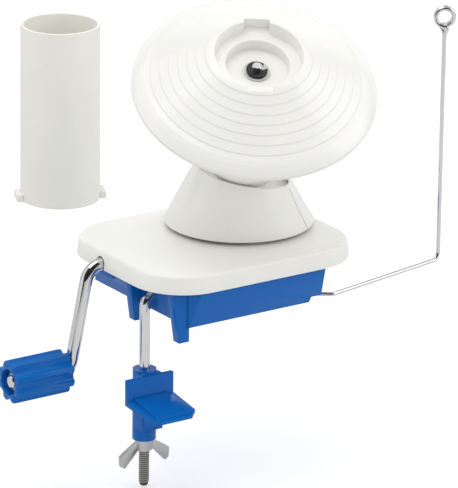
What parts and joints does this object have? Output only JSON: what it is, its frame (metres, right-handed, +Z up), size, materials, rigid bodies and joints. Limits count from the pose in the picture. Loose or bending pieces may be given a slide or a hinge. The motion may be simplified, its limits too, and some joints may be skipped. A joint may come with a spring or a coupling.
{
  "type": "yarn ball winder",
  "caption": "Hand-cranked yarn ball winder: tilted winding disc on a leaning geared head, wire yarn guide, loose yarn tube and a table clamp.",
  "frame": {"origin": "where the clamp rod's axis crosses the plane of the feet, which is the table top", "axes": "+Z up along the clamp rod; +X from the crank end to the yarn guide's end; the clamp's jaw reaches along -Y"},
  "size_m": [0.2829, 0.3365, 0.2766],
  "materials": {
    "white_plastic": "gloss white moulded plastic",
    "ivory_plastic": "satin warm white moulded plastic",
    "blue_plastic": "gloss blue moulded plastic",
    "chrome_steel": "bright plated steel",
    "zinc_steel": "zinc plated steel",
    "black_steel": "blackened spring steel",
    "gear_nylon": "natural nylon"
  },
  "bodies": {
    "frame": {"base_tray": "blue_plastic", "top_cover": "white_plastic", "cover_screws": "zinc_steel", "centre_post": "zinc_steel", "thrust_washer": "zinc_steel", "post_nut": "zinc_steel", "sun_gear": "gear_nylon", "clamp_rod": "chrome_steel", "rod_keeper": "blue_plastic", "keeper_screws": "zinc_steel", "yarn_tube": "ivory_plastic"},
    "crank": {"crank_rod": "chrome_steel", "crank_clip": "zinc_steel", "drive_wheel": "gear_nylon", "grip_clip": "zinc_steel"},
    "grip": {"crank_grip": "blue_plastic"},
    "rotor": {"rotor_pinion": "gear_nylon", "rotor_tower": "white_plastic", "rotor_floor": "white_plastic", "floor_screws": "zinc_steel"},
    "spool": {"winding_disc": "white_plastic", "disc_axle": "chrome_steel", "planet_gear": "gear_nylon", "axle_washer": "zinc_steel", "axle_clip": "black_steel"},
    "guide": {"guide_wire": "chrome_steel", "guide_ring": "zinc_steel"},
    "jaw": {"clamp_jaw": "blue_plastic"},
    "nut": {"wing_nut": "zinc_steel"}
  },
  "joints": [
    {"name": "crank_turn", "type": "hinge", "parent": "frame", "child": "crank", "pos_m": [0, 0.024, 0.034], "axis": [1, 0, 0], "continuous": true},
    {"name": "grip_spin", "type": "hinge", "parent": "crank", "child": "grip", "pos_m": [-0.0585, 0.024, -0.027], "axis": [1, 0, 0], "continuous": true},
    {"name": "rotor_turn", "type": "hinge", "parent": "frame", "child": "rotor", "pos_m": [0.0815, 0.024, 0.05], "axis": [0, 0, 1], "continuous": true},
    {"name": "disc_spin", "type": "hinge", "parent": "rotor", "child": "spool", "pos_m": [0.0815, 0.024, 0.0559], "axis": [-0.205, -0.4477, 0.8704], "continuous": true},
    {"name": "guide_swing", "type": "hinge", "parent": "frame", "child": "guide", "pos_m": [0.0921, -0.025, 0.02], "axis": [0, 0, 1], "range_deg": [-35, 0]},
    {"name": "jaw_slide", "type": "slide", "parent": "frame", "child": "jaw", "axis": [0, 0, 1], "range_m": [-0.018, 0.034]},
    {"name": "wing_nut_turn", "type": "hinge", "parent": "jaw", "child": "nut", "pos_m": [0, 0, -0.073], "axis": [0, 0, 1], "range_deg": [-5100, 9630]}
  ],
  "couplings": [
    {"joint": "rotor_turn", "follows": "crank_turn", "ratio": -2},
    {"joint": "disc_spin", "follows": "crank_turn", "ratio": 2.2609},
    {"joint": "jaw_slide", "follows": "wing_nut_turn", "m_per_rad": 0.00020213}
  ]
}
